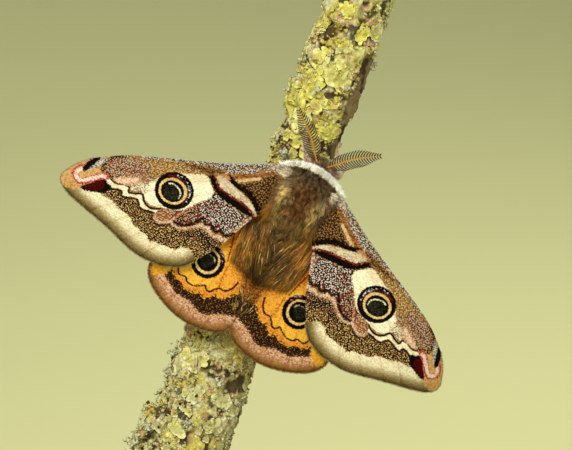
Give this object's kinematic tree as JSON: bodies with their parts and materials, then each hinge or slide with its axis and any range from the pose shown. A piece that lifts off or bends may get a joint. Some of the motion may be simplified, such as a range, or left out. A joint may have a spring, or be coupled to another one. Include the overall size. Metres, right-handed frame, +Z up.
{
  "type": "emperor moth on a branch perch",
  "caption": "Still life-size male emperor moth at rest, wings half spread, gripping a short lichened branch length held upright by a plain flat display stand.",
  "frame": {"origin": "centre of the base's flat underside, on the floor", "axes": "+Z up; -Y towards the viewer, the way the moth's back faces; +X to the viewer's right, the side that the moth's head leans to"},
  "size_m": [0.062, 0.046, 0.0907],
  "materials": {
    "moth_fur": "long soft hair, brown grey to golden",
    "collar_fur": "short dense cream hair",
    "eye": "glossy black facets",
    "antenna": "ochre shaft with dark brown rays",
    "forewing_scales": "matt wing scales in brown, cream, black and pink",
    "hindwing_scales": "matt wing scales in orange with dark bands",
    "leg_fur": "short brown and pinkish hair",
    "lichened_bark": "rough bark under yellow and grey green lichen",
    "base_wood": "satin dark hardwood",
    "rod_brass": "satin brass"
  },
  "bodies": {
    "root": {"abdomen": "moth_fur", "antenna_left": "antenna", "antenna_right": "antenna", "collar": "collar_fur", "eye_left": "eye", "eye_right": "eye", "forewing_left": "forewing_scales", "forewing_right": "forewing_scales", "head": "moth_fur", "hindwing_left": "hindwing_scales", "hindwing_right": "hindwing_scales", "leg_fore_left": "leg_fur", "leg_fore_right": "leg_fur", "leg_hind_left": "leg_fur", "leg_hind_right": "leg_fur", "leg_mid_left": "leg_fur", "leg_mid_right": "leg_fur", "perch_branch": "lichened_bark", "stand_base": "base_wood", "stand_rod": "rod_brass", "thorax": "moth_fur"}
  },
  "joints": []
}
